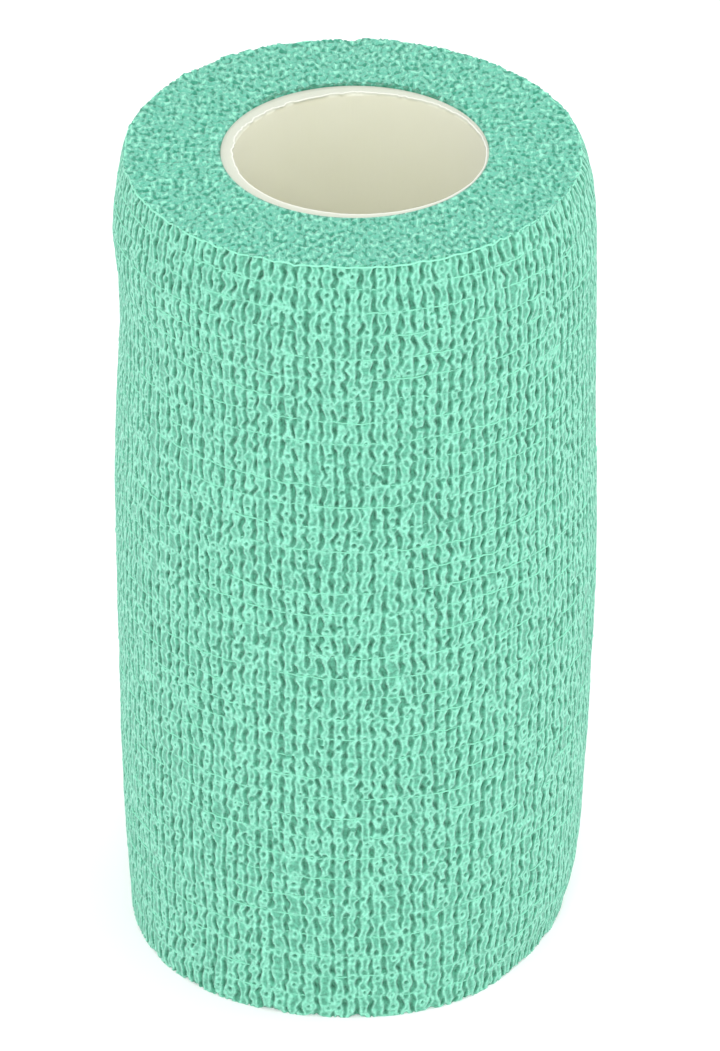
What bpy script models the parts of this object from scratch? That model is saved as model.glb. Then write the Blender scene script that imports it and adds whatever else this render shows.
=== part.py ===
"""A cohesive bandage roll: crinkled stretch cloth wound tight on a plain plastic tube.

The roll stands on one end. +Z runs up its axis, and the origin is the centre of its foot.
The cloth is elastic along its length: threads run round the roll at an even spacing and
pinch it in, and it puffs out a little between them. The cloth's loose end lies pressed
flat on the back, at +Y. Sizes are in metres, except in the two tables, in millimetres.
"""

import math
from collections import namedtuple

import bmesh
import bpy

MM = 0.001

# The wound cloth
CLOTH_WIDTH = 100.0 * MM  # across the cloth, so the roll's height
THREAD_GAPS = 36  # puffed bands between the elastic threads, from edge to edge
THREAD_PINCH = 0.28 * MM  # how far a thread draws the cloth in under its crests
TURN_THICKNESS = 0.6 * MM  # one crinkled turn, pressed on the turn below
LOOSE_END_ANGLE = math.radians(90.0)  # where the outer turn ends, at the back
LOOSE_END_SLOPE = math.radians(1.2)  # the angle in which its edge steps down

# The tube in its middle
TUBE_RADIUS = 15.0 * MM
TUBE_WALL = 0.7 * MM
TUBE_LENGTH = CLOTH_WIDTH - 0.4 * MM  # the cloth stands a little proud of its top
SEAT_GAP = 0.3 * MM  # between the tube and the first turn

FACETS = 48  # columns of points round the roll

# Radius of the roll's crests on its four sides, in millimetres, at each height.
# It bellies out at half height and again under the top edge, leans to the front left at
# its foot, and both edges of the cloth curl inwards.
Section = namedtuple("Section", "height front right back left")
SECTIONS = (
    Section(0.0, 26.70, 24.50, 25.00, 26.45),
    Section(2.0, 26.65, 24.80, 25.30, 26.55),
    Section(5.0, 26.70, 25.65, 25.90, 26.75),
    Section(10.0, 26.85, 26.30, 26.45, 27.05),
    Section(18.0, 27.10, 26.75, 26.85, 27.35),
    Section(28.0, 27.40, 27.20, 27.20, 27.50),
    Section(40.0, 27.65, 27.60, 27.50, 27.60),
    Section(50.0, 27.75, 27.75, 27.60, 27.70),
    Section(60.0, 27.65, 27.55, 27.50, 27.65),
    Section(70.0, 27.35, 27.35, 27.20, 27.30),
    Section(78.0, 27.10, 27.30, 27.00, 26.90),
    Section(84.0, 27.10, 27.30, 26.95, 26.90),
    Section(90.0, 27.35, 27.25, 27.00, 27.45),
    Section(94.0, 27.10, 26.95, 26.85, 27.30),
    Section(97.0, 26.55, 26.55, 26.60, 26.85),
    Section(99.0, 26.10, 26.00, 26.30, 26.45),
    Section(100.0, 25.85, 25.50, 25.95, 26.20),
)

# Soft dents and swellings between those sides: the angle from +X in degrees, the height
# and the depth in millimetres, and how far each fades round and up the roll.
Swell = namedtuple("Swell", "angle height fade_round fade_up depth")
SWELLS = (
    Swell(326.0, 0.0, 20.0, 5.0, -0.65),
    Swell(294.0, 0.0, 16.0, 5.0, 0.45),
    Swell(228.0, 1.0, 26.0, 6.0, 0.60),
    Swell(52.0, 100.0, 28.0, 5.0, -0.50),
    Swell(118.0, 100.0, 30.0, 5.0, 0.35),
)

CLOTH_COLOUR = (0.22, 0.74, 0.49, 1.0)
CLOTH_ROUGHNESS = 0.9
TUBE_COLOUR = (0.76, 0.75, 0.62, 1.0)
TUBE_ROUGHNESS = 0.4
SHARP_EDGE = math.radians(40.0)  # a fold sharper than this isn't shaded smooth


def clear_scene():
    for old in list(bpy.data.objects):
        bpy.data.objects.remove(old)


def material(name, colour, roughness):
    made = bpy.data.materials.new(name)
    made.use_nodes = True
    shader = made.node_tree.nodes["Principled BSDF"]
    shader.inputs["Base Color"].default_value = colour
    shader.inputs["Roughness"].default_value = roughness
    shader.inputs["Metallic"].default_value = 0.0
    return made


def section_at(height_mm):
    """The four side radii at a height, in millimetres, on smooth curves through the table."""
    above = next(i for i, row in enumerate(SECTIONS) if row.height >= height_mm)
    above = max(above, 1)
    before, low, high, after = (
        SECTIONS[max(above - 2, 0)],
        SECTIONS[above - 1],
        SECTIONS[above],
        SECTIONS[min(above + 1, len(SECTIONS) - 1)],
    )
    span = high.height - low.height
    t = (height_mm - low.height) / span
    sides = []
    for name in ("front", "right", "back", "left"):
        a, b = getattr(low, name), getattr(high, name)
        slope_a = (b - getattr(before, name)) / (high.height - before.height) * span
        slope_b = (getattr(after, name) - a) / (after.height - low.height) * span
        sides.append(
            (2 * t**3 - 3 * t**2 + 1) * a
            + (t**3 - 2 * t**2 + t) * slope_a
            + (3 * t**2 - 2 * t**3) * b
            + (t**3 - t**2) * slope_b
        )
    return sides


def swell_at(angle, height_mm):
    """How far the dents and swellings push the crests out, in millimetres."""
    total = 0.0
    for swell in SWELLS:
        turn = math.degrees(angle) - swell.angle
        across = ((turn + 180.0) % 360.0 - 180.0) / swell.fade_round
        along = (height_mm - swell.height) / swell.fade_up
        total += swell.depth * math.exp(-(across**2) - along**2)
    return total


def crest_radius(angle, height):
    """Radius of the crests at an angle from +X and a height, without the spiral's growth."""
    height_mm = height / MM
    front, right, back, left = section_at(height_mm)
    middle = (front + right + back + left) / 4
    oval = (right + left - front - back) / 4
    return MM * (
        middle
        + (right - left) / 2 * math.cos(angle)
        + (back - front) / 2 * math.sin(angle)
        + oval * math.cos(2 * angle)
        + swell_at(angle, height_mm)
    )


def column_angles():
    """Angles from the loose end's foot, once round, to its outer edge just short of it."""
    sweep = 2 * math.pi - LOOSE_END_SLOPE
    return [LOOSE_END_ANGLE + sweep * column / FACETS for column in range(FACETS + 1)]


def wall_rows():
    """(height, pinch) of each ring of points up the wall: a thread, a crest, and so on."""
    gap = CLOTH_WIDTH / THREAD_GAPS
    rows = []
    for band in range(THREAD_GAPS):
        # The threads at the two edges run in the curled edge itself.
        rows.append((band * gap, THREAD_PINCH if band else 0.0))
        rows.append(((band + 0.5) * gap, 0.0))
    rows.append((CLOTH_WIDTH, 0.0))
    return rows


def ring(mesh, points):
    return [mesh.verts.new(point) for point in points]


def skin(mesh, lower, upper):
    """Quads between two rings that run the same way; they face out if lower is below."""
    count = len(lower)
    for i in range(count):
        j = (i + 1) % count
        mesh.faces.new((lower[i], lower[j], upper[j], upper[i]))


def polar(radius, angle, height):
    return (radius * math.cos(angle), radius * math.sin(angle), height)


def add_object(name, mesh, finish):
    data = bpy.data.meshes.new(name)
    mesh.to_mesh(data)
    mesh.free()
    data.materials.append(finish)
    data.shade_smooth()
    data.set_sharp_from_angle(angle=SHARP_EDGE)
    made = bpy.data.objects.new(name, data)
    bpy.context.scene.collection.objects.link(made)
    return made


def wound_cloth():
    """The cloth as one wound body: its outer turn's spiral and step, threads and bellies."""
    angles = column_angles()
    mesh = bmesh.new()
    wall = []
    for height, pinch in wall_rows():
        points = []
        for column, angle in enumerate(angles):
            growth = TURN_THICKNESS * (column / FACETS - 0.5)
            radius = crest_radius(angle, height) + growth - pinch
            points.append(polar(radius, angle, height))
        wall.append(ring(mesh, points))
    for lower, upper in zip(wall, wall[1:]):
        skin(mesh, lower, upper)
    bore_radius = TUBE_RADIUS + SEAT_GAP
    bore_foot = ring(mesh, [polar(bore_radius, a, 0.0) for a in angles])
    bore_top = ring(mesh, [polar(bore_radius, a, CLOTH_WIDTH) for a in angles])
    skin(mesh, wall[-1], bore_top)
    skin(mesh, bore_top, bore_foot)
    skin(mesh, bore_foot, wall[0])
    finish = material("cohesive_cloth", CLOTH_COLOUR, CLOTH_ROUGHNESS)
    return add_object("wound_cloth", mesh, finish)


def core_tube():
    """The plain tube that the cloth is wound on, open right through."""
    angles = [2 * math.pi * column / FACETS for column in range(FACETS)]
    mesh = bmesh.new()
    bore_radius = TUBE_RADIUS - TUBE_WALL
    outer_foot = ring(mesh, [polar(TUBE_RADIUS, a, 0.0) for a in angles])
    outer_top = ring(mesh, [polar(TUBE_RADIUS, a, TUBE_LENGTH) for a in angles])
    bore_top = ring(mesh, [polar(bore_radius, a, TUBE_LENGTH) for a in angles])
    bore_foot = ring(mesh, [polar(bore_radius, a, 0.0) for a in angles])
    skin(mesh, outer_foot, outer_top)
    skin(mesh, outer_top, bore_top)
    skin(mesh, bore_top, bore_foot)
    skin(mesh, bore_foot, outer_foot)
    finish = material("core_plastic", TUBE_COLOUR, TUBE_ROUGHNESS)
    return add_object("core_tube", mesh, finish)


def main():
    clear_scene()
    core_tube()
    wound_cloth()


main()
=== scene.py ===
"""Looks of a cohesive bandage roll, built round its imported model.

The roll's outer turn, its elastic threads, the two ends of the winding and the plastic tube
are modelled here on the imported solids' own sizes, and a plain studio stands round them.
The cloth is laid out flat first, as u along its length and v up its width, both in metres:
a pattern of grooves between crinkled pleats is drawn there and then wound on the roll.
"""

import math
from collections import namedtuple

import bpy
import numpy as np
from bpy.props import FloatProperty, FloatVectorProperty, IntProperty, PointerProperty
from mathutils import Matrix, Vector


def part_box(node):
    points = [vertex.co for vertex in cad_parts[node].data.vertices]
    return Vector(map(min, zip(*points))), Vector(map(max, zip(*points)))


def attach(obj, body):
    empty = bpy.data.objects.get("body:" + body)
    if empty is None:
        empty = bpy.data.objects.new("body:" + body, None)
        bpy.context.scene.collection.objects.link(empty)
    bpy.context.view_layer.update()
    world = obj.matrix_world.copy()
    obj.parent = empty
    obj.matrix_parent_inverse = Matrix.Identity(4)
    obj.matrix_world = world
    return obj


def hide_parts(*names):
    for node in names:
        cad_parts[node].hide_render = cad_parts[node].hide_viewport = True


bl_info = {
    "name": "Cohesive Bandage Roll",
    "version": (1, 0, 0),
    "blender": (4, 5, 0),
    "location": "View3D > Sidebar > Bandage",
    "description": "Crinkled stretch cloth wound on a plastic tube, in a plain studio",
    "category": "Object",
}

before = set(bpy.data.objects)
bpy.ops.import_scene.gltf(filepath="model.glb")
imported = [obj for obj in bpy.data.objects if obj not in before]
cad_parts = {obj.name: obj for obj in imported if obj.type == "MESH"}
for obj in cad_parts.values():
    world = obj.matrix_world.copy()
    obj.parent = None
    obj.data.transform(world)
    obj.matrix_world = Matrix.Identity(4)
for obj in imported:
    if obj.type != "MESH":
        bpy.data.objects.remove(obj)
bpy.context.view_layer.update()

MM = 0.001
BODY = "root"
CLOTH_NODE = "wound_cloth"
TUBE_NODE = "core_tube"

# The outer turn's mesh
LOOSE_END = math.radians(90.0)  # where the outer turn ends: the back, as in the solid
ROWS_PER_BAND = 9  # rows of points from one elastic thread to the next
COLUMNS = 1200  # points round the roll
WALL_PIECES = 4  # divides the number of bands
CUT_END = 0.1 * MM  # the pattern's value along the cloth's cut end, a light edge from the crests' painted highlight
FRAY_SIZE = (0.9 * MM, 1.0 * MM)  # width and height of the frays along the two edges
FRAY_MOST = 1.8  # the farthest one, as a multiple of the fray in the settings
FOOT_FRAY = 3  # how many times as far the foot's edge frays

# Slopes of the cloth, between two distances out from a groove's edge
GROOVE_WALL = (-0.22 * MM, 0.02 * MM)
PLEAT_BACK = (0.15 * MM, 0.5 * MM)
PLEAT_SAG = 0.22  # how deep a pleat lies away from its edges, as a share of the relief
THREAD_REACH = 0.38 * MM  # how far up and down a thread pinches the cloth
THREAD_FILL = 0.6  # how much shallower a groove is where it crosses a thread

# Painted light on the cloth, between two distances out from a groove's edge: a painted highlight
# on the pleats' crests, painted shade in the grooves and in the pleats' middles
GROOVE_SIDE = (-0.23 * MM, 0.03 * MM)
GROOVE_FLOOR = (-0.38 * MM, -0.20 * MM)
CREST_RISE = (-0.07 * MM, 0.09 * MM)
CREST_FALL = (0.13 * MM, 0.48 * MM)
PLEAT_SHADE = (0.24 * MM, 0.5 * MM)
THREAD_HIGHLIGHT = (0.05 * MM, 0.28 * MM)  # distances from a thread's middle, for the painted highlight along it

# The two ends of the winding
END_RISE = 0.10 * MM  # the folds' height there
END_BLOB = 0.95 * MM  # and their size
END_SPECK = (-2.2, 1.6)  # the deepest pit and the highest fold, as multiples of that
END_INSIDE = -2.0  # the value of the edge that is turned in, painted shade as dark as a pit
END_FADE_IN, END_FADE_OUT = (0, 0.03), (0.94, 1)  # shares of the way from wall to tube
END_DEPTH = 2 * MM  # how far the inner edge is turned in along the tube
TUBE_SHADOW = (0.44 * MM, 0.58 * MM)  # the painted shadow beside the tube, out from the bore
TUBE_SHADOW_BACK = (7 * MM, 13 * MM)  # it shows only this far to the back
SEAT_OVERLAP = 0.17 * MM  # how far the ends reach in over the bore's edge

# The threads
THREAD_STEP = 4  # columns from one point of a thread to the next
THREAD_SHOW = 0.09 * MM  # how far a thread rises and sinks along its way
SHOW_SIZE = (3.2 * MM, 0.7 * MM)  # width and height of the noise behind that
SHOW_MOST = 1.2  # the farthest that it goes, as a multiple of that
THREAD_WAVE = 1.3 * MM  # the size of its fine bends
THREAD_SEED = 4.0
THREAD_TWIST_SHADE = (0.22, 0.75, 0.5)  # painted shade between the twists, in random blobs
RIM_OUT = (-1.6, -1.2)  # where the upper edge's thread comes out, in radians from the front
RIM_IN = (0.5, 0.8)  # and where it goes in again
RIM_DROP = 1.2  # how far below the edge its middle lies, in its radii
RIM_TUCK = 1.6  # and how far in, where it doesn't show

# The tube's rim
TUBE_SEGMENTS = 480
TUBE_SEED = 5
FLARE = 0.15 * MM  # how far it stands out
OVAL = 0.44 * MM  # how far its mouth is pressed in at the front and the back
TEAR = 0.44 * MM  # how ragged its lip is
RIPPLES = range(4, 110)  # the waves round the lip that make it ragged
RIPPLE_FADE = -0.9  # the power of its number that a wave's height goes by
RIM_DEPTH = (0.25 * MM, 0.6 * MM)  # where its painted shade, a grey, fades, down from the top

# The studio
FLOOR_HALF = 3.0
FLOOR_DROP = 0.05 * MM  # keeps the floor clear of the roll's foot
WHITE = (1.0, 1.0, 1.0, 1.0)
KEY_PLACE, KEY_SIZE = (-0.08, -0.9, 0.75), 0.35
FILL_PLACE, FILL_SIZE = (0.55, 0.1, 0.95), 0.5

# The photograph's camera
TARGET = Vector((0.6 * MM, 0.0, 50.34 * MM))
DISTANCE = 1050.0 * MM
ELEVATION = math.radians(31.95)
LENS_MM = 312.15
SENSOR_MM = 36.0


# ------------ settings


def amount(name, description, default, **kind):
    return FloatProperty(name=name, description=description, default=default, **kind)


def length(name, description, default):
    return amount(name, description, default, unit="LENGTH", precision=5)


def power(name, description, default):
    return amount(name, description, default, unit="POWER")


def paint(name, description, default):
    return FloatVectorProperty(
        name=name, description=description, default=default, subtype="COLOR"
    )


class ClothSettings(bpy.types.PropertyGroup):
    """Sizes and colours of the crinkled cloth."""

    relief: length("Relief", "How deep the deepest grooves between the pleats are", 0.36 * MM)
    pinch: length("Pinch", "How far an elastic thread draws the pleats in", 0.12 * MM)
    pleat_gap: length("Pleat gap", "Mean distance between grooves, round the roll", 1.62 * MM)
    wave_gap: length("Wave gap", "Distance between the slanting waves, up the cloth", 2.03 * MM)
    slant_gap: length("Slant gap", "Distance in which such a wave climbs by one gap", 5.5 * MM)
    fray: length("Fray", "How far the cloth's top edge strays up and down", 0.10 * MM)
    seed: IntProperty(name="Seed", description="Which crinkle pattern is drawn", default=21)
    # crest is a painted highlight: on the pleats' sharp edges, along the threads and on the ends'
    # fold edges
    crest: paint("Crest", "Colour of the sharp edges of the pleats", (0.275, 0.75, 0.55))
    cloth: paint("Cloth", "Colour of the cloth between them", (0.116, 0.452, 0.306))
    # groove is painted shade: deep in the grooves, in the pleats' middles and beside the tube
    groove: paint("Groove", "Colour deep in the grooves", (0.017, 0.168, 0.090))
    end: paint("End", "Colour of the ends of the winding", (0.128, 0.50, 0.36))
    # end_pit_shade is painted shade in the pits between the folds of the ends
    end_pit_shade: paint("End pit", "Colour of the pits between the folds there", (0.035, 0.29, 0.185))


class ThreadSettings(bpy.types.PropertyGroup):
    """Sizes and colour of the elastic threads."""

    radius: length("Radius", "Half the thickness of an elastic thread", 0.12 * MM)
    rim_radius: length("Rim radius", "Half that of the one in the top edge", 0.11 * MM)
    sunk: length("Sunk", "How far a thread lies under the pinched pleats", 0.115 * MM)
    wander: length("Wander", "How far a thread strays along its way", 0.8 * MM)
    colour: paint("Colour", "Colour of the threads", (0.28, 0.77, 0.565))


class TubeSettings(bpy.types.PropertyGroup):
    """Shape and colour of the plastic tube."""

    mouth_radius: length("Mouth radius", "Radius of the cut rim's inner edge", 14.24 * MM)
    proud: length("Proud", "How far the cut rim stands above the solid tube's end", 0.3 * MM)
    mouth_shift: length("Mouth shift", "How far the mouth lies off the middle", 0.53 * MM)
    colour: paint("Colour", "Colour of the plastic", (0.83, 0.83, 0.685))
    # pale is the plastic's own cloudy tone, and also the painted highlight along the rim's inner
    # lip
    pale: paint("Pale", "Colour of the plastic where it is thin or cloudy", (0.92, 0.93, 0.85))
    # rim is painted shade: the cut rim's top painted greyer
    rim: paint("Rim", "Colour of the cut rim", (0.55, 0.58, 0.48))


class StageSettings(bpy.types.PropertyGroup):
    """The studio."""

    floor: paint("Floor", "Colour of the floor", (0.75, 0.75, 0.75))
    glow: amount("Glow", "How far the floor is lit from below, as a light table", 0.3)
    ambient: amount("Ambient", "Strength of the light from all sides", 1.04)
    key_power: power("Key power", "Power of the soft light in front", 3.4)
    fill_power: power("Fill power", "Power of the one at the upper right", 2.0)


# ------------ the winding


class Winding:
    """The surface that the pleats' crests lie on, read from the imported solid's points."""

    HAIR = 1e-4  # radians; keeps the first column from falling just short of the loose end
    SAME_LEVEL = 1e-5  # metres

    def __init__(self, node):
        points = np.empty(len(node.data.vertices) * 3, np.float32)
        node.data.vertices.foreach_get("co", points)
        points = points.reshape(-1, 3).astype(float)
        radius = np.hypot(points[:, 0], points[:, 1])
        self.bore = radius.min()
        outer = radius > (radius.min() + radius.max()) / 2
        points, radius = points[outer], radius[outer]
        turn = np.arctan2(points[:, 1], points[:, 0]) - LOOSE_END
        turn = (turn + self.HAIR) % math.tau - self.HAIR
        levels = np.unique(points[:, 2].round(6))
        self.bands = (len(levels) - 1) // 2
        self.height = levels[-1]
        self.pitch = self.height / self.bands
        # The solid's even levels are pinched by a thread, but for the two edges.
        self.levels = np.array([levels[0], *levels[1::2], levels[-1]])
        rings = []
        for level in self.levels:
            here = np.abs(points[:, 2] - level) < self.SAME_LEVEL
            turns, first = np.unique(turn[here].round(5), return_index=True)
            rings.append((turns, radius[here][first]))
        self.turns = rings[0][0]
        self.radii = np.array([radii for _, radii in rings])
        self.sweep = self.turns[-1]
        self.girth = math.tau * self.radii.mean()

    def crest(self, heights, turns):
        """Radius at each height and turn, as a table with a row for each height."""
        round_it = np.array([np.interp(turns, self.turns, row) for row in self.radii])
        return np.array([np.interp(heights, self.levels, column) for column in round_it.T]).T


WINDING = Winding(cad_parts[CLOTH_NODE])


# ------------ the crinkle pattern


def smoothstep(low, high, value):
    share = np.clip((value - low) / (high - low), 0, 1)
    return share * share * (3 - 2 * share)


# The grooves where they cross one thread: the middle of each, and half its width, which is
# under zero where it is shut
Grooves = namedtuple("Grooves", "u half")


class Crinkle:
    """The flat cloth's pattern, at each point of the wall's mesh.

    Its tables are the distance out from the nearest groove's edge, under zero in a groove;
    the groove's depth; how far the threads stray from their rows; and how far the cloth
    swells. A groove runs up the cloth from thread to thread. It is shaped at the knots of
    each band, and a crowded one ends at a thread, where a wide gap gets a new one.
    """

    FAR = 0.6 * MM  # the greatest distance that is told apart
    MARGIN = 34  # spare rows, which keep noise from joining up between the cloth's edges
    KNOTS = np.array([0.0, 0.17, 0.5, 0.83, 1.0])  # where a groove is shaped, up a band

    # The slanting waves
    STRETCHES = (3, 9)  # lengths in which they slant the same way, in millimetres
    TURN = 0.6 * MM  # how softly they change over
    BEND = 0.12 * MM  # how far they bend the grooves
    WIDEN = 0.04 * MM  # and how far they widen them
    MEAN_DEPTH, WAVE_DEPTH = 0.84, 0.28  # the share of the depth that stays, and its swing

    # The grooves; the pairs of half widths are in millimetres
    SHUT = -0.09 * MM  # half the width of a shut one, in metres
    HALF_AT_THREAD = (0.14, 0.26)
    HALF = (0.24, 0.35)
    HALF_WIDE = (0.28, 0.36)
    SHARE_SHUT_AT_THREAD, SHARE_SHUT, SHARE_WIDE = 0.13, 0.03, 0.06
    NARROWING = (0.85, 1.1)  # from the middle of a band to its quarters
    DEPTH = (0.80, 1.0)
    DRIFT = 0.19 * MM  # how far a groove moves from one thread to the next
    SWAY = 0.09 * MM  # and between them

    # Their spacing, in mean gaps
    FIRST_GAPS = (0.8, 1.2)
    SPARE = 1.3  # how many times as many are drawn as one round holds
    CLOSING_GAP = 0.7  # how far short of a full round the last one stays
    LEAST_GAP, CROWDED_GAP, WIDE_GAP = 0.88, 0.78, 1.36
    BIRTH = (0.42, 0.58)  # where a new one starts, across a wide gap
    EVENING = 0.18  # how far each moves to the middle between its neighbours

    # The small holes in the pleats
    PLEAT_HALF = 0.26 * MM  # half the width that a pleat must have for one
    SHARE_WITH_HOLE = 0.72
    HOLE_RADIUS = (0.21, 0.31)  # in millimetres
    HOLE_SQUASH = (0.8, 1.25)
    HOLE_DEPTH = (0.35, 0.9)

    # The noises: the width and height of the blobs of each, and its strength
    FOLDS_STRAY = (9 * MM, 14 * MM, 1.5 * MM)  # moves the places where the waves turn
    WAVES_STRAY = (2 * MM, 14 * MM, 0.26)  # moves the waves up and down, by shares of a wave
    GRAIN = (0.38 * MM, 0.5 * MM, 0.07 * MM)  # moves the grooves' edges
    STRAY = (6 * MM, 4 * MM, 0.13 * MM)  # moves the threads up and down
    STRAY_FADE = (0, 4 * MM)  # less and less of it, this far from the cloth's edges
    SWELL = (4 * MM, 2.4 * MM, 0.03 * MM)  # moves the cloth out and in

    def __init__(self, winding, settings):
        self.winding = winding
        self.gap = settings.pleat_gap
        self.wave_gap = settings.wave_gap
        self.slant_gap = settings.slant_gap
        self.rows = winding.bands * ROWS_PER_BAND + 1
        self.du = winding.girth / COLUMNS
        self.dv = winding.pitch / ROWS_PER_BAND
        self.u = np.arange(COLUMNS) * self.du
        self.v = np.arange(self.rows) * self.dv
        self.rng = np.random.default_rng(settings.seed)
        self.edge = np.full((self.rows, COLUMNS), self.FAR)
        self.deep = np.zeros((self.rows, COLUMNS))
        lean, phase = self.lattice()
        self.bend = self.BEND * lean * np.sin(phase)
        self.draw_grooves()
        self.edge -= self.WIDEN * np.cos(phase)
        self.deep *= self.MEAN_DEPTH + self.WAVE_DEPTH * np.cos(phase)
        self.draw_pinholes()
        self.edge += self.noise(*self.GRAIN)
        self.edge = np.clip(self.edge, -self.FAR, self.FAR)
        from_rim = np.minimum(self.v, winding.height - self.v)[:, None]
        self.stray = self.noise(*self.STRAY) * smoothstep(*self.STRAY_FADE, from_rim)
        self.swell = self.noise(*self.SWELL)

    def noise(self, across, upright, strength=1.0):
        """Smooth noise that joins up round the roll, from the size of its blobs in metres."""
        white = self.rng.standard_normal((self.rows + self.MARGIN, COLUMNS))
        ku = np.fft.fftfreq(COLUMNS, self.du)[None, :]
        kv = np.fft.fftfreq(self.rows + self.MARGIN, self.dv)[:, None]
        keep = np.exp(-((ku * across * math.pi) ** 2 + (kv * upright * math.pi) ** 2) / 2)
        smooth = np.fft.ifft2(np.fft.fft2(white) * keep).real
        return strength * (smooth / smooth.std())[: self.rows]

    def lattice(self):
        """Waves that slant up the cloth one way and the other: which way, and their phase."""
        rng, girth = self.rng, self.winding.girth
        count = int(girth / (np.mean(self.STRETCHES) * MM)) // 2 * 2
        folds = np.cumsum(rng.uniform(*self.STRETCHES, count)) * MM
        folds *= girth / folds[-1]
        side = np.where(np.searchsorted(folds, self.u) % 2, -1.0, 1.0)
        climb = np.cumsum(side) * self.du / self.slant_gap
        climb -= (climb[-1] - round(climb[-1])) * self.u / girth
        strayed = self.u + self.noise(*self.FOLDS_STRAY)
        kernel = np.exp(-((np.fft.fftfreq(COLUMNS, 1 / girth) / self.TURN) ** 2))
        soft = np.fft.ifft(np.fft.fft(side) * np.fft.fft(kernel / kernel.sum())).real
        lean = np.interp(strayed, self.u, soft, period=girth)
        turns = strayed // girth
        climb = np.interp(strayed % girth, self.u, climb) + turns * round(climb[-1])
        waves = self.v[:, None] / self.wave_gap + climb + self.noise(*self.WAVES_STRAY)
        return lean, math.tau * waves

    def draw_grooves(self):
        rng, girth, gap = self.rng, self.winding.girth, self.gap
        spacing = rng.uniform(*self.FIRST_GAPS, int(self.SPARE * girth / gap)) * gap
        middles = np.cumsum(spacing)
        middles = middles[middles < girth - self.CLOSING_GAP * gap]
        below = Grooves(middles, self.half_at_thread(len(middles)))
        for band in range(self.winding.bands):
            below = self.draw_band(band, below)

    def half_at_thread(self, count):
        open_half = self.rng.uniform(*self.HALF_AT_THREAD, count) * MM
        shut = self.rng.random(count) < self.SHARE_SHUT_AT_THREAD
        return np.where(shut, self.SHUT, open_half)

    def half_at_knots(self, below, above):
        """Half the grooves' widths at a band's knots, from those at its two threads."""
        rng, count = self.rng, len(below)
        middle = rng.uniform(*self.HALF, count)
        is_wide = rng.random(count) < self.SHARE_WIDE
        middle = np.where(is_wide, rng.uniform(*self.HALF_WIDE, count), middle) * MM
        quarters = [middle * rng.uniform(*self.NARROWING, count) for _ in range(2)]
        for half in (*quarters, middle):
            half[rng.random(count) < self.SHARE_SHUT] = self.SHUT
        return np.array([below, quarters[0], middle, quarters[1], above])

    def draw_band(self, band, below):
        """Draws the grooves between two threads, and returns them at the upper one."""
        rng, count, knots = self.rng, len(below.u), len(self.KNOTS)
        upper = self.kept_apart(below.u + rng.normal(0, self.DRIFT, count))
        above, lasting = self.respaced(upper)
        half_above = np.where(lasting, self.half_at_thread(count), self.SHUT)
        half = self.half_at_knots(below.half, half_above)
        sway = np.zeros((knots, count))
        sway[1:-1] = rng.normal(0, self.SWAY, (knots - 2, count))
        middle = below.u + (upper - below.u) * self.KNOTS[:, None] + sway
        deep = rng.uniform(*self.DEPTH, (knots, count))
        girth = self.winding.girth
        is_top = band == self.winding.bands - 1  # and so has the cloth's upper edge too
        for step in range(ROWS_PER_BAND + is_top):
            row = band * ROWS_PER_BAND + step
            share = step / ROWS_PER_BAND
            here = [self.between_knots(table, share) for table in (middle, half, deep)]
            u = (self.u + self.bend[row])[:, None]
            aside = np.abs((u - here[0] + girth / 2) % girth - girth / 2) - here[1]
            nearest = np.argmin(aside, axis=1)
            self.edge[row] = aside[np.arange(COLUMNS), nearest]
            self.deep[row] = here[2][nearest]
        born = len(above) - lasting.sum()
        half_next = np.concatenate([half_above[lasting], np.full(born, self.SHUT)])
        order = np.argsort(above)
        return Grooves(above[order], half_next[order])

    def between_knots(self, table, share):
        """A table's values at a share of the band's height, on a soft curve through its knots."""
        last = np.searchsorted(self.KNOTS, share, side="right").clip(1, len(self.KNOTS) - 1)
        low, high = self.KNOTS[last - 1], self.KNOTS[last]
        blend = 0.5 - 0.5 * math.cos(math.pi * (share - low) / (high - low))
        return table[last - 1] * (1 - blend) + table[last] * blend

    def kept_apart(self, middles):
        """The same middles, a little evened out, with those that came too close pushed apart."""
        least = self.LEAST_GAP * self.gap
        ahead, behind = np.roll(middles, -1), np.roll(middles, 1)
        ahead[-1] += self.winding.girth
        behind[0] -= self.winding.girth
        middles = middles + self.EVENING * ((ahead + behind) / 2 - middles)
        for _ in range(3):
            ahead = np.roll(middles, -1)
            ahead[-1] += self.winding.girth
            short = np.maximum(least - (ahead - middles), 0) / 2
            middles = middles - short + np.roll(short, 1)
        return middles

    def respaced(self, middles):
        """Middles with crowded ones left out and wide gaps given a new one; which ones last."""
        closest, widest = self.CROWDED_GAP * self.gap, self.WIDE_GAP * self.gap
        lasting = np.ones(len(middles), bool)
        previous = middles[0]
        for index in range(1, len(middles)):
            if middles[index] - previous < closest:
                lasting[index] = False
            else:
                previous = middles[index]
        kept = middles[lasting]
        following = np.append(kept[1:], kept[0] + self.winding.girth)
        wide = following - kept > widest
        born = kept + (following - kept) * self.rng.uniform(*self.BIRTH, len(kept))
        return np.concatenate([kept, born[wide]]), lasting

    def draw_pinholes(self):
        """Small round holes where a pleat is widest, one above another along it."""
        widest = self.edge
        for aside in (-3, -2, -1, 1, 2, 3):
            widest = np.maximum(widest, np.roll(self.edge, aside, axis=1))
        due = (self.edge >= widest) & (self.edge > self.PLEAT_HALF)
        for step in (1, 2, 3):
            due[step:] &= widest[step:] >= widest[:-step]
            due[:-step] &= widest[:-step] > widest[step:]
        due &= self.rng.random(self.edge.shape) < self.SHARE_WITH_HOLE
        self.stamp_holes(*np.nonzero(due))

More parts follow.
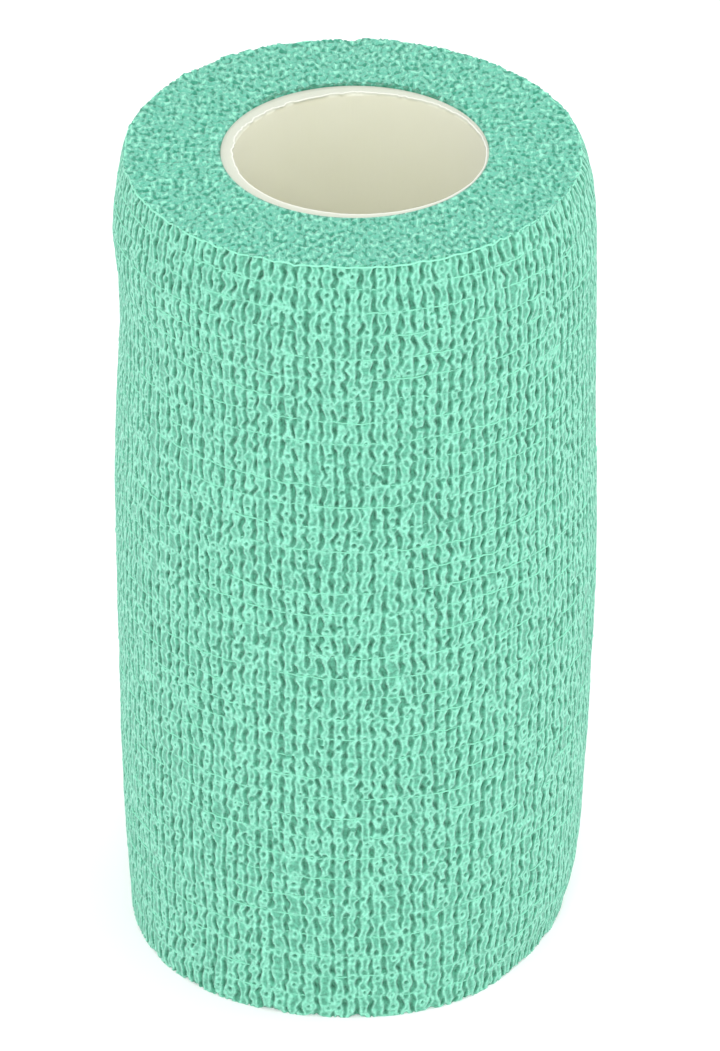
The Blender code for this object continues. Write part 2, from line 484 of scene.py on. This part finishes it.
    def stamp_holes(self, row, column):
        rng, count = self.rng, len(row)
        radius = rng.uniform(*self.HOLE_RADIUS, count) * MM
        squash = rng.uniform(*self.HOLE_SQUASH, count)
        deep = rng.uniform(*self.HOLE_DEPTH, count)
        row, column, radius, squash, deep = (
            values[:, None, None] for values in (row, column, radius, squash, deep)
        )
        rows = np.clip(row + np.arange(-2, 3)[:, None], 0, self.rows - 1)
        columns = column + np.arange(-4, 5)
        away = np.hypot((columns - column) * self.du, (rows - row) * self.dv * squash) - radius
        where = np.broadcast_to(rows * COLUMNS + columns % COLUMNS, away.shape).ravel()
        deep = np.broadcast_to(deep, away.shape).ravel()
        away = away.ravel()
        nearer = away < self.edge.flat[where]
        where, away, deep = where[nearer], away[nearer], deep[nearer]
        nearest_last = np.argsort(-away)
        self.edge.flat[where[nearest_last]] = away[nearest_last]
        self.deep.flat[where[nearest_last]] = deep[nearest_last]


# ------------ meshes


def add_object(name, data):
    made = bpy.data.objects.new(name, data)
    bpy.context.scene.collection.objects.link(made)
    return made


def new_piece(name, points, quads, finish, node):
    """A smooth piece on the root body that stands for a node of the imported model."""
    mesh = bpy.data.meshes.new(name)
    fill_mesh(mesh, points, quads)
    mesh.materials.append(finish)
    mesh.shade_smooth()
    piece = add_object(name, mesh)
    settle(piece, node)
    return piece


def settle(piece, node):
    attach(piece, BODY)
    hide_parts(node)


def fill_mesh(mesh, points, quads):
    """Fills a mesh from arrays, which is far quicker than from lists."""
    mesh.vertices.add(len(points))
    mesh.vertices.foreach_set("co", np.asarray(points, np.float32).ravel())
    mesh.loops.add(quads.size)
    mesh.loops.foreach_set("vertex_index", quads.astype(np.int32).ravel())
    mesh.polygons.add(len(quads))
    mesh.polygons.foreach_set("loop_start", np.arange(0, quads.size, 4, dtype=np.int32))
    mesh.update(calc_edges=True)


def grid_quads(rows, columns):
    """Quads over a table of points, row by row, which join the last column to the first."""
    index = np.arange(rows * columns).reshape(rows, columns)
    right = np.roll(index, -1, axis=1)
    return np.stack([index[:-1], right[:-1], right[1:], index[1:]], axis=-1).reshape(-1, 4)


def add_values(mesh, name, values):
    layer = mesh.attributes.new(name, "FLOAT", "POINT")
    layer.data.foreach_set("value", np.asarray(values, np.float32).ravel())


def add_uvs(mesh, places, quads):
    """Gives each corner of the quads its point's place on the flat cloth."""
    layer = mesh.uv_layers.new(name="cloth")
    corners = places.reshape(-1, 2)[quads.ravel()]
    layer.uv.foreach_set("vector", corners.astype(np.float32).ravel())


def polar(radius, angle, height):
    radius, angle, height = np.broadcast_arrays(radius, angle, height)
    return np.stack([radius * np.cos(angle), radius * np.sin(angle), height], axis=-1)


def grid_normals(points):
    """Outward normals of a table of points that closes round the roll."""
    across = np.roll(points, -1, axis=1) - np.roll(points, 1, axis=1)
    up = np.gradient(points, axis=0)
    normals = np.cross(across, up)
    return normals / np.linalg.norm(normals, axis=-1, keepdims=True)


def closed(table):
    """A table with its first column again at the end."""
    return np.hstack([table, table[:, :1]])


# ------------ materials


class Number:
    """A shader value that takes Python's operators; each one adds a Math node."""

    def __init__(self, shader, socket):
        self.shader, self.socket = shader, socket

    def math(self, operation, *values):
        inputs = dict(enumerate(values))
        made = self.shader.node("ShaderNodeMath", {"operation": operation}, inputs)
        return Number(self.shader, made.outputs[0])

    def __add__(self, other):
        return self.math("ADD", self, other)

    def __sub__(self, other):
        return self.math("SUBTRACT", self, other)

    def __rsub__(self, other):
        return self.math("SUBTRACT", other, self)

    def __mul__(self, other):
        return self.math("MULTIPLY", self, other)

    def __abs__(self):
        return self.math("ABSOLUTE", self)

    def most(self, other):
        return self.math("MAXIMUM", self, other)

    def from_multiple(self, gap):
        """Distance to the nearest whole number of gaps."""
        return self.math("PINGPONG", self, gap / 2)

    __radd__ = __add__
    __rmul__ = __mul__


class Tree:
    """A node tree, with one way to add a node."""

    def __init__(self, tree):
        self.tree = tree

    def node(self, kind, settings=None, inputs=None):
        """Adds a node; inputs maps a socket's name or number to what it is fed."""
        made = self.tree.nodes.new(kind)
        for name, value in (settings or {}).items():
            setattr(made, name, value)
        for name, value in (inputs or {}).items():
            self.feed(made.inputs[name], value)
        return made

    def feed(self, socket, value):
        """Links a socket to an output, a node's first output or a Number, or sets its value."""
        if isinstance(value, Number):
            value = value.socket
        if isinstance(value, bpy.types.Node):
            value = value.outputs[0]
        if isinstance(value, bpy.types.NodeSocket):
            self.tree.links.new(value, socket)
        else:
            socket.default_value = value


class Shader(Tree):
    """A material's node tree, with its surface."""

    def __init__(self, name, **constants):
        self.material = bpy.data.materials.new(name)
        self.material.use_nodes = True
        super().__init__(self.material.node_tree)
        self.surface = self.tree.nodes["Principled BSDF"]
        for socket, value in constants.items():
            self.surface.inputs[socket.replace("_", " ")].default_value = value

    def attribute(self, name):
        made = self.node("ShaderNodeAttribute", {"attribute_name": name})
        return Number(self, made.outputs["Fac"])

    def coordinates(self, output):
        return self.node("ShaderNodeTexCoord").outputs[output]

    def mapped(self, vector, scale):
        made = self.node("ShaderNodeMapping", inputs={"Vector": vector, "Scale": scale})
        return made.outputs["Vector"]

    def second(self, vector):
        """A vector's Y."""
        made = self.node("ShaderNodeSeparateXYZ", inputs={"Vector": vector})
        return Number(self, made.outputs["Y"])

    def noise(self, vector, size, detail=2.0, roughness=0.5):
        """Noise from 0 to 1 whose blobs are about this size, in metres."""
        inputs = {"Vector": vector, "Scale": 1 / size, "Detail": detail, "Roughness": roughness}
        return Number(self, self.node("ShaderNodeTexNoise", inputs=inputs).outputs["Fac"])

    def step(self, value, low, high):
        """0 up to low and 1 from high, with a smooth rise between."""
        inputs = {"Value": value, "From Min": low, "From Max": high}
        made = self.node("ShaderNodeMapRange", {"interpolation_type": "SMOOTHSTEP"}, inputs)
        return Number(self, made.outputs["Result"])

    def mix(self, share, first, second, blend="MIX"):
        """Mixes two colours, each a colour or an output."""
        made = self.node("ShaderNodeMix", {"data_type": "RGBA", "blend_type": blend})
        sockets = {socket.identifier: socket for socket in (*made.inputs, *made.outputs)}
        self.feed(sockets["Factor_Float"], share)
        for name, value in (("A_Color", first), ("B_Color", second)):
            is_output = isinstance(value, bpy.types.NodeSocket)
            self.feed(sockets[name], value if is_output else (*value[:3], 1.0))
        return sockets["Result_Color"]

    def shaded(self, base, shade):
        """A colour made darker or lighter by a factor near 1."""
        grey = self.node("ShaderNodeCombineColor", inputs=dict.fromkeys(range(3), shade))
        return self.mix(1.0, base, grey.outputs["Color"], blend="MULTIPLY")

    def colour(self, output):
        self.feed(self.surface.inputs["Base Color"], output)

    def roughness(self, value):
        self.feed(self.surface.inputs["Roughness"], value)

    def bump(self, height, distance):
        """Bends the surface's normal by a height, of which 1 is this distance in metres."""
        made = self.node("ShaderNodeBump", inputs={"Height": height, "Distance": distance})
        self.feed(self.surface.inputs["Normal"], made.outputs["Normal"])


def cloth_finish(settings):
    """Crinkled nonwoven cloth: painted highlights on the sharp pleat edges, painted shade in the
    grooves, a fine fibrous mottle.
    """
    shader = Shader(
        "crinkled_cloth",
        Roughness=0.85,
        Sheen_Weight=0.55,
        Sheen_Roughness=0.5,
        Sheen_Tint=(0.66, 1.0, 0.89, 1.0),
    )
    flat = shader.coordinates("UV")
    fibre = shader.step(shader.noise(flat, 0.55 * MM, detail=3.0, roughness=0.65), 0.3, 0.7)
    knobs = shader.noise(flat, 0.9 * MM, detail=1.0)
    patch = shader.step(shader.noise(flat, 1.2 * MM, detail=1.0), 0.36, 0.60)
    edge, deep = shader.attribute("edge"), shader.attribute("deep")
    outside = edge * (1.4 - 0.7 * knobs)
    inside = 1 - shader.step(edge, *GROOVE_SIDE)
    # rim is a painted highlight along the pleats' sharp edges, stronger beside deeper grooves
    rim = shader.step(edge, *CREST_RISE) * (1 - shader.step(outside, *CREST_FALL))
    rim = rim * (0.50 + 0.35 * deep + 0.25 * patch)
    # Painted highlights along the rows of threads: broken, pale ridges across the pleats.
    from_thread = (shader.attribute("stray") + shader.second(flat)).from_multiple(WINDING.pitch)
    at_thread = (1 - shader.step(from_thread, *THREAD_HIGHLIGHT)) * (0.25 + 0.75 * patch)
    rim = rim + 0.45 * at_thread * (1 - rim) * (1 - inside)
    # Painted shade in the middles of wide pleats, mottled, none at the threads
    pleat_shade = shader.step(outside, *PLEAT_SHADE) * (0.02 + 0.30 * (1 - fibre)) * (1 - at_thread)
    # Painted shade deep in the grooves: darkest beside their edges, a little lighter along their
    # floors, less where a thread crosses
    floor = inside * deep * (0.65 + 0.35 * shader.step(edge, *GROOVE_FLOOR))
    floor = floor * (1.05 - 0.35 * fibre) * (1 - 0.7 * at_thread)
    base = shader.mix(rim, settings.cloth, settings.crest)
    base = shader.mix(pleat_shade, base, settings.groove)
    base = shader.mix(floor, base, settings.groove)
    shader.colour(shader.shaded(base, 0.76 + 0.40 * fibre))
    shader.bump(fibre + rim, 0.06 * MM)
    return shader.material


def cloth_end_finish(settings):
    """The ends of the winding: a fine speckle of painted highlights on fold edges and painted
    shade in pits, and a painted shadow beside the tube.
    """
    shader = Shader("wound_edges", Roughness=0.85, Sheen_Weight=0.2, Sheen_Roughness=0.5)
    flat = shader.coordinates("UV")
    across = shader.mapped(flat, (1.0, 0.6, 1.0))
    curl = shader.noise(across, 0.60 * MM, detail=1.0)
    knob = shader.noise(across, 0.48 * MM, detail=0.5)
    # arc and bright are painted highlights on the fold edges; pit is painted shade
    arc = (1 - shader.step(abs(curl - 0.54), 0.01, 0.05)) * shader.step(knob, 0.42, 0.54)
    bright = (arc * 0.8).most(shader.step(knob, 0.57, 0.68))
    pit = shader.step(0.5 - knob, 0.05, 0.15) * (1 - arc)
    base = shader.mix(pit, settings.end, settings.end_pit_shade)
    base = shader.mix(bright, base, settings.crest)
    measured = shader.node("ShaderNodeVectorMath", {"operation": "LENGTH"}, {0: flat})
    from_bore = Number(shader, measured.outputs["Value"]) - WINDING.bore
    # A painted shadow beside the tube, shown only toward the back, broken by the curl noise
    painted_tube_shadow = 1 - shader.step(from_bore, *TUBE_SHADOW)
    painted_tube_shadow = painted_tube_shadow * shader.step(shader.second(flat), *TUBE_SHADOW_BACK)
    painted_tube_shadow = painted_tube_shadow * shader.step(curl, 0.36, 0.50)
    base = shader.mix(0.75 * painted_tube_shadow, base, settings.groove)
    # The folds' height shades the colour too: higher folds painted lighter, pits and the
    # turned-in edge painted darker
    shader.colour(shader.shaded(base, 0.90 + 0.20 * curl + 0.04 * shader.attribute("height")))
    shader.bump(bright - pit, 0.08 * MM)
    return shader.material


def thread_finish(settings):
    shader = Shader("elastic_thread", Roughness=0.7, Sheen_Weight=0.15, Sheen_Roughness=0.5)
    twist = shader.noise(shader.coordinates("Object"), 0.4 * MM)
    # Painted shade between the twists: darker in random blobs
    shader.colour(shader.mix(twist * 0.35, settings.colour, THREAD_TWIST_SHADE))
    shader.bump(twist, 0.05 * MM)
    return shader.material


def tube_finish(settings):
    """Thin ivory plastic, satin and cloudy; its cut rim is painted greyer, painted shade standing
    in for light that sinks into it, and its lip gets a painted highlight.
    """
    shader = Shader(
        "ivory_plastic",
        Roughness=0.38,
        Subsurface_Weight=0.25,
        Subsurface_Scale=0.001,
        Subsurface_Radius=(1.0, 1.0, 0.9),
    )
    place = shader.coordinates("Object")
    cut = shader.attribute("cut")
    cloud = shader.noise(place, 6 * MM)
    scuff = shader.noise(shader.mapped(place, (1.0, 1.0, 0.12)), 0.35 * MM, detail=4.0)
    base = shader.mix(0.25 * cloud, settings.colour, settings.pale)
    # The cut rim's top gets painted shade, a grey
    base = shader.mix(cut, base, settings.rim)
    # A painted highlight along the lip's inner edge, in the pale colour
    shader.colour(shader.mix(0.7 * shader.attribute("lip"), base, settings.pale))
    shader.roughness(0.32 + 0.14 * scuff + 0.15 * cut)
    shader.bump(scuff, 0.01 * MM)
    return shader.material


# ------------ the cloth


class ClothWall:
    """The outer turn's points: the pattern wound on the roll, with its loose end's drop."""

    def __init__(self, winding, crinkle, settings):
        self.crinkle, self.pinch = crinkle, settings.pinch
        slide = self.slid_to_edges(crinkle.edge, crinkle.du)
        slide[:, 0] = 0.0
        self.edge = closed(crinkle.edge)
        self.edge[:, :-1][slide != 0] = 0.0
        self.edge[:, [0, -1]] = CUT_END
        self.deep = closed(crinkle.deep)
        self.stray = closed(crinkle.stray)
        self.u = np.append(crinkle.u, winding.girth)
        self.v = crinkle.v
        threads_up = (self.v[:, None] + self.stray) / winding.pitch
        from_thread = np.abs((threads_up + 0.5) % 1 - 0.5) * winding.pitch
        at_thread = np.exp(-((from_thread / THREAD_REACH) ** 2))
        at_thread[[0, -1]] = 0.0
        inside = 1 - smoothstep(*GROOVE_WALL, self.edge)
        depth = self.deep * inside + PLEAT_SAG * smoothstep(*PLEAT_BACK, self.edge)
        depth = depth * (1 - THREAD_FILL * at_thread)
        crest = winding.crest(self.v, self.u / winding.girth * winding.sweep)
        radius = crest + closed(crinkle.swell) - settings.relief * depth
        radius = radius - settings.pinch * at_thread
        turns = (self.u[None, :] + closed(slide)) / winding.girth * winding.sweep
        self.angle = LOOSE_END + turns
        self.points = polar(radius, self.angle, self.v[:, None])
        fray = np.clip(crinkle.noise(*FRAY_SIZE)[[0, -1]], -FRAY_MOST, FRAY_MOST)
        fray = settings.fray * closed(fray)
        # The foot's edge can only stray up, since the roll stands on it.
        self.points[0, :, 2] += FOOT_FRAY * np.maximum(fray[0], 0)
        self.points[-1, :, 2] += fray[1]

    @staticmethod
    def slid_to_edges(edge, du):
        """How far each point slides sideways to lie on a groove's edge that is close by."""
        after = np.roll(edge, -1, axis=1)
        crosses = edge * after < 0
        share = np.where(crosses, edge / np.where(crosses, edge - after, 1.0), 1.0)
        forward = np.where(crosses & (share < 0.5), share, 0.0)
        back = np.roll(np.where(crosses & (share >= 0.5), share - 1, 0.0), 1, axis=1)
        alone = crosses & np.roll(crosses, 1, axis=1)
        slide = np.where(forward > 0, forward, back)
        return np.where(alone, 0.0, slide) * du


def make_cloth_wall(finish, settings):
    wall = ClothWall(WINDING, Crinkle(WINDING, settings), settings)
    normals = grid_normals(wall.points)
    rows_each = WINDING.bands // WALL_PIECES * ROWS_PER_BAND
    quads = grid_quads(rows_each + 1, len(wall.u))
    for number in range(WALL_PIECES):
        rows = slice(number * rows_each, (number + 1) * rows_each + 1)
        points = wall.points[rows].reshape(-1, 3)
        name = f"cloth_turn_{number + 1}"
        mesh = new_piece(name, points, quads, finish, CLOTH_NODE).data
        add_values(mesh, "edge", wall.edge[rows])
        add_values(mesh, "deep", wall.deep[rows])
        add_values(mesh, "stray", wall.stray[rows])
        unrolled = np.broadcast_arrays(wall.u[None, :], wall.v[rows][:, None])
        add_uvs(mesh, np.stack(unrolled, axis=-1), quads)
        mesh.normals_split_custom_set_from_vertices(normals[rows].reshape(-1, 3))
    return wall


# The two ends of the winding: each one's row in the wall, height, way out, and mesh
EndShape = namedtuple("EndShape", "name row height out rings column_step seed_step")
END_SHAPES = (
    EndShape("cloth_end_top", -1, WINDING.height, 1, rings=38, column_step=1, seed_step=2),
    EndShape("cloth_end_foot", 0, 0.0, -1, rings=24, column_step=2, seed_step=3),
)


def make_cloth_end(wall, finish, settings, shape):
    """The end of the winding: the crinkled edges of all its turns."""
    outer = wall.points[shape.row, :: shape.column_step]
    angle = np.arctan2(outer[:, 1], outer[:, 0])
    outer_radius = np.hypot(outer[:, 0], outer[:, 1])
    share = np.linspace(0, 1, shape.rings)[:, None]
    radius = outer_radius * (1 - share) + (WINDING.bore - SEAT_OVERLAP) * share
    points = polar(radius, angle, shape.height)
    rng = np.random.default_rng(settings.seed + shape.seed_step)
    speck = blob_noise(rng, points[..., 0], points[..., 1], END_BLOB)
    fade = smoothstep(*END_FADE_IN, share) * (1 - smoothstep(*END_FADE_OUT, share))
    rise = END_RISE * np.clip(speck, *END_SPECK) * fade
    # The foot's folds can only lie in, since the roll stands on them.
    points[..., 2] += rise if shape.out > 0 else np.maximum(-rise, 0)
    points[0, :, 2] = outer[:, 2]
    points = np.concatenate([points, points[-1:] - [0, 0, shape.out * END_DEPTH]])
    speck = np.concatenate([speck, np.full_like(speck[-1:], END_INSIDE)])
    quads = grid_quads(shape.rings + 1, len(outer))[:, :: shape.out]
    flat = points.reshape(-1, 3)
    mesh = new_piece(shape.name, flat, quads, finish, CLOTH_NODE).data
    add_values(mesh, "height", speck)
    add_uvs(mesh, flat[:, :2], quads)


def blob_noise(rng, x, y, size):
    """Noise of unit spread with blobs of one size, in metres, at points of a plane."""
    spread = 0.5  # of the blobs' sizes, as a share
    step = size / 6
    reach = 30 * MM  # from the middle of the roll to past its wall
    count = int(2 * reach / step)
    k = np.fft.fftfreq(count, step)
    k = np.hypot(k[:, None], k[None, :])
    keep = np.exp(-(((k - 1 / size) * size / spread) ** 2) / 2)
    table = np.fft.ifft2(np.fft.fft2(rng.standard_normal((count, count))) * keep).real
    table /= table.std()
    column, row = (x + reach) / step, (y + reach) / step
    i, j = row.astype(int), column.astype(int)
    a, b = row - i, column - j
    below = table[i, j] * (1 - b) + table[i, j + 1] * b
    above = table[i + 1, j] * (1 - b) + table[i + 1, j + 1] * b
    return below * (1 - a) + above * a


# ------------ threads


def thread_tree(finish):
    """Geometry Nodes that turn rails of edges into round threads that stray a little."""
    group = bpy.data.node_groups.new("elastic threads", "GeometryNodeTree")
    sockets = {}
    for name, kind, way in (
        ("Rails", "Geometry", "INPUT"),
        ("Radius", "Float", "INPUT"),
        ("Wander", "Float", "INPUT"),
        ("Seed", "Float", "INPUT"),
        ("Sides", "Int", "INPUT"),
        ("Threads", "Geometry", "OUTPUT"),
    ):
        made = group.interface.new_socket(name, in_out=way, socket_type="NodeSocket" + kind)
        sockets[name] = made.identifier
    new = Tree(group).node
    given = new("NodeGroupInput").outputs
    place = new("GeometryNodeInputPosition")
    inputs = {"Vector": place, "W": given["Seed"], "Scale": 1 / THREAD_WAVE, "Detail": 1.0}
    noise = new("ShaderNodeTexNoise", {"noise_dimensions": "4D"}, inputs).outputs["Color"]
    inputs = {0: noise, 1: (0.5, 0.5, 0.5)}
    centred = new("ShaderNodeVectorMath", {"operation": "SUBTRACT"}, inputs)
    inputs = {0: centred, "Scale": given["Wander"]}
    offset = new("ShaderNodeVectorMath", {"operation": "SCALE"}, inputs)
    inputs = {"Geometry": given["Rails"], "Offset": offset}
    strayed = new("GeometryNodeSetPosition", inputs=inputs)
    curve = new("GeometryNodeMeshToCurve", inputs={"Mesh": strayed})
    inputs = {"Radius": given["Radius"], "Resolution": given["Sides"]}
    ring = new("GeometryNodeCurvePrimitiveCircle", inputs=inputs)
    mesh = new("GeometryNodeCurveToMesh", inputs={"Curve": curve, "Profile Curve": ring})
    smooth = new("GeometryNodeSetShadeSmooth", inputs={"Geometry": mesh})
    real = new("GeometryNodeRealizeInstances", inputs={"Geometry": smooth})
    painted = new("GeometryNodeSetMaterial", inputs={"Geometry": real, "Material": finish})
    new("NodeGroupOutput", inputs={"Threads": painted})
    return group, sockets


def make_threads(wall, settings):
    """The threads under the pleats, and the one in the cloth's upper edge."""
    finish = thread_finish(settings)
    columns = np.arange(0, COLUMNS, THREAD_STEP)
    rows = np.arange(WINDING.bands + 1) * ROWS_PER_BAND
    turns = wall.u[columns] / WINDING.girth * WINDING.sweep
    radius = WINDING.crest(wall.v[rows], turns)
    show = wall.crinkle.noise(*SHOW_SIZE)[rows][:, columns]
    angle = wall.angle[rows][:, columns]
    height = wall.v[rows][:, None] - wall.stray[rows][:, columns]
    show = THREAD_SHOW * np.clip(show, -SHOW_MOST, SHOW_MOST)
    sunk = wall.pinch + settings.sunk - show
    inner = slice(1, WINDING.bands)
    points = polar((radius - sunk)[inner], angle[inner], height[inner])
    lay_threads("elastic_threads", points, 3, settings.radius, settings.wander, finish)
    height[-1] -= RIM_DROP * settings.rim_radius
    from_front = (angle[-1] + math.pi / 2 + math.pi) % math.tau - math.pi
    shown = smoothstep(*RIM_OUT, from_front) * (1 - smoothstep(*RIM_IN, from_front))
    tucked = RIM_TUCK * settings.rim_radius * (1 - shown)
    points = polar(radius[-1:] - tucked, angle[-1:], height[-1:])
    lay_threads("rim_thread", points, 6, settings.rim_radius, settings.wander, finish)


def lay_threads(name, points, sides, radius, wander, finish):
    """Threads along the rows of a table of points, each closed round the roll."""
    index = np.arange(points.shape[0] * points.shape[1]).reshape(points.shape[:2])
    edges = np.stack([index, np.roll(index, -1, axis=1)], axis=-1).reshape(-1, 2)
    rails = bpy.data.meshes.new(name + "_rails")
    rails.from_pydata(points.reshape(-1, 3).tolist(), edges.tolist(), [])
    carrier = add_object(name + "_rails", rails)
    modifier = carrier.modifiers.new("threads", "NODES")
    modifier.node_group, sockets = thread_tree(finish)
    modifier[sockets["Radius"]] = radius
    modifier[sockets["Wander"]] = wander
    modifier[sockets["Seed"]] = THREAD_SEED
    modifier[sockets["Sides"]] = sides
    depsgraph = bpy.context.evaluated_depsgraph_get()
    mesh = bpy.data.meshes.new_from_object(carrier.evaluated_get(depsgraph))
    bpy.data.objects.remove(carrier)
    mesh.name = name
    settle(add_object(name, mesh), CLOTH_NODE)


# ------------ the tube


def make_tube(settings):
    """The plastic tube; its cut rim flares a little, and its flash leans into the bore."""
    _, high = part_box(TUBE_NODE)
    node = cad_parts[TUBE_NODE]
    bore = min(math.hypot(v.co.x, v.co.y) for v in node.data.vertices)
    outer, top = high.x, high.z + settings.proud
    angle = np.arange(TUBE_SEGMENTS) * math.tau / TUBE_SEGMENTS
    rng = np.random.default_rng(TUBE_SEED)
    ragged = np.zeros(TUBE_SEGMENTS)
    for wave in RIPPLES:
        height = rng.normal(0, wave**RIPPLE_FADE)
        ragged += height * np.cos(wave * angle + rng.uniform(0, math.tau))
    ragged /= np.abs(ragged).max()
    # The lip is torn most at the back left, and hardly at the front right.
    lean = 0.5 - 0.5 * np.cos(angle)
    torn = np.clip(0.15 + 0.5 * lean + 0.8 * np.sin(angle), 0.12, 1)
    mouth = settings.mouth_radius - OVAL * np.sin(angle) ** 2
    mouth = mouth + settings.mouth_shift * np.cos(angle)
    lip = mouth + TEAR * ragged * torn
    flared = outer + FLARE
    # Radius, height and how strong the lip's painted highlight is, up the outside and down the
    # inside
    profile = (
        (outer, 0.0, 0.0),
        (outer, 2.0 * MM, 0.0),
        (outer, top / 2, 0.0),
        (outer, top - 2.0 * MM, 0.0),
        (flared - 0.05 * MM, top - 0.5 * MM, 0.0),
        (flared, top - 0.12 * MM, 0.0),
        (flared - 0.10 * MM, top, 0.1),
        (flared * 0.5 + lip * 0.5, top - 0.10 * MM, 0.1),
        (lip + 0.22 * MM, top - 0.22 * MM, 0.3),
        (lip + 0.10 * MM, top - 0.15 * MM, 1.0),
        (lip + 0.02 * MM, top - 0.17 * MM, 1.0),
        (lip, top - 0.26 * MM, 0.8),
        (lip + 0.02 * MM, top - 0.36 * MM, 0.3),
        (mouth, top - 0.50 * MM, 0.0),
        (mouth, top - 0.70 * MM, 0.0),
        (mouth * 0.9 + bore * 0.1, top - 2.5 * MM, 0.0),
        (mouth * 0.5 + bore * 0.5, top - 24.0 * MM, 0.0),
        (bore, top / 2, 0.0),
        (bore, 2.0 * MM, 0.0),
        (bore, 0.0, 0.0),
    )
    points = np.array([polar(radius, angle, height) for radius, height, _ in profile])
    index = np.arange(TUBE_SEGMENTS)
    right = np.roll(index, -1)
    last = (len(profile) - 1) * TUBE_SEGMENTS
    foot = np.stack([last + index, last + right, right, index], axis=-1)
    quads = np.vstack([grid_quads(len(profile), TUBE_SEGMENTS), foot])
    points = points.reshape(-1, 3)
    finish = tube_finish(settings)
    mesh = new_piece("plastic_tube", points, quads, finish, TUBE_NODE).data
    # cut: how far the rim's painted shade reaches down from the top; lip: how strong the lip's
    # painted highlight is
    add_values(mesh, "cut", 1 - smoothstep(*RIM_DEPTH, top - points[:, 2]))
    add_values(mesh, "lip", np.repeat([pale for _, _, pale in profile], TUBE_SEGMENTS))


# ------------ the stage


def make_stage(settings):
    scene = bpy.context.scene
    corners = ((-1, -1), (1, -1), (1, 1), (-1, 1))
    places = [(x * FLOOR_HALF, y * FLOOR_HALF, -FLOOR_DROP) for x, y in corners]
    mesh = bpy.data.meshes.new("floor")
    mesh.from_pydata(places, [], [(0, 1, 2, 3)])
    finish = Shader(
        "floor_paint",
        Roughness=0.9,
        Base_Color=(*settings.floor, 1.0),
        Emission_Color=WHITE,
        Emission_Strength=settings.glow,
    )
    mesh.materials.append(finish.material)
    floor = add_object("floor", mesh)
    world = scene.world or bpy.data.worlds.new("studio")
    scene.world = world
    world.use_nodes = True
    background = next(n for n in world.node_tree.nodes if n.type == "BACKGROUND")
    background.inputs["Color"].default_value = WHITE
    background.inputs["Strength"].default_value = settings.ambient
    soft_light("key", KEY_PLACE, KEY_SIZE, settings.key_power)
    soft_light("fill", FILL_PLACE, FILL_SIZE, settings.fill_power)
    back = Vector((0.0, -math.cos(ELEVATION), math.sin(ELEVATION)))
    data = bpy.data.cameras.new("camera")
    data.lens = LENS_MM
    data.sensor_width = SENSOR_MM
    data.clip_start, data.clip_end = 0.05, 20.0
    scene.camera = add_object("camera", data)
    stand(scene.camera, TARGET + DISTANCE * back, facing=-back)
    scene.view_settings.view_transform = "Standard"


def soft_light(name, place, size, power):
    data = bpy.data.lights.new(name, "AREA")
    data.shape = "DISK"
    data.size = size
    data.energy = power
    stand(add_object(name, data), Vector(place), facing=TARGET - Vector(place))


def stand(made, place, facing):
    """Puts a light or the camera in its place, turned the way that it faces."""
    made.location = place
    made.rotation_mode = "QUATERNION"
    made.rotation_quaternion = facing.to_track_quat("-Z", "Y")


# ------------ the add-on

WALLS = []  # those that the cloth operator made, for the threads to follow the last one


class BANDAGE_OT_cloth(bpy.types.Operator):
    """Winds the crinkled outer turn and lays the two ends of the winding"""

    bl_idname = "bandage.cloth"
    bl_label = "Cloth"

    def execute(self, context):
        settings = context.scene.bandage_cloth
        wall = make_cloth_wall(cloth_finish(settings), settings)
        finish = cloth_end_finish(settings)
        for shape in END_SHAPES:
            make_cloth_end(wall, finish, settings, shape)
        WALLS.append(wall)
        return {"FINISHED"}


class BANDAGE_OT_threads(bpy.types.Operator):
    """Lays the elastic threads round the cloth"""

    bl_idname = "bandage.threads"
    bl_label = "Elastic Threads"

    def execute(self, context):
        make_threads(WALLS[-1], context.scene.bandage_threads)
        return {"FINISHED"}


class BANDAGE_OT_tube(bpy.types.Operator):
    """Makes the plastic tube with its cut rim"""

    bl_idname = "bandage.tube"
    bl_label = "Plastic Tube"

    def execute(self, context):
        make_tube(context.scene.bandage_tube)
        return {"FINISHED"}


class BANDAGE_OT_stage(bpy.types.Operator):
    """Sets the floor, the lights and the camera"""

    bl_idname = "bandage.stage"
    bl_label = "Stage"

    def execute(self, context):
        make_stage(context.scene.bandage_stage)
        return {"FINISHED"}


OPERATORS = (BANDAGE_OT_cloth, BANDAGE_OT_threads, BANDAGE_OT_tube, BANDAGE_OT_stage)
SETTINGS = {
    "bandage_cloth": ClothSettings,
    "bandage_threads": ThreadSettings,
    "bandage_tube": TubeSettings,
    "bandage_stage": StageSettings,
}


class BANDAGE_PT_panel(bpy.types.Panel):
    """Lists the roll's settings and the operators that build it"""

    bl_idname = "BANDAGE_PT_panel"
    bl_label = "Bandage Roll"
    bl_space_type = "VIEW_3D"
    bl_region_type = "UI"
    bl_category = "Bandage"

    def draw(self, context):
        for operator, name in zip(OPERATORS, SETTINGS):
            box = self.layout.box()
            box.label(text=operator.bl_label)
            group = getattr(context.scene, name)
            for setting in group.__annotations__:
                box.prop(group, setting)
            box.operator(operator.bl_idname)


CLASSES = (*SETTINGS.values(), *OPERATORS, BANDAGE_PT_panel)


def register():
    for cls in CLASSES:
        bpy.utils.register_class(cls)
    for name, group in SETTINGS.items():
        setattr(bpy.types.Scene, name, PointerProperty(type=group))


def unregister():
    for name in SETTINGS:
        delattr(bpy.types.Scene, name)
    for cls in reversed(CLASSES):
        bpy.utils.unregister_class(cls)


def main():
    register()
    bpy.ops.bandage.stage()
    bpy.ops.bandage.cloth()
    bpy.ops.bandage.threads()
    bpy.ops.bandage.tube()


if __name__ == "__main__":
    main()
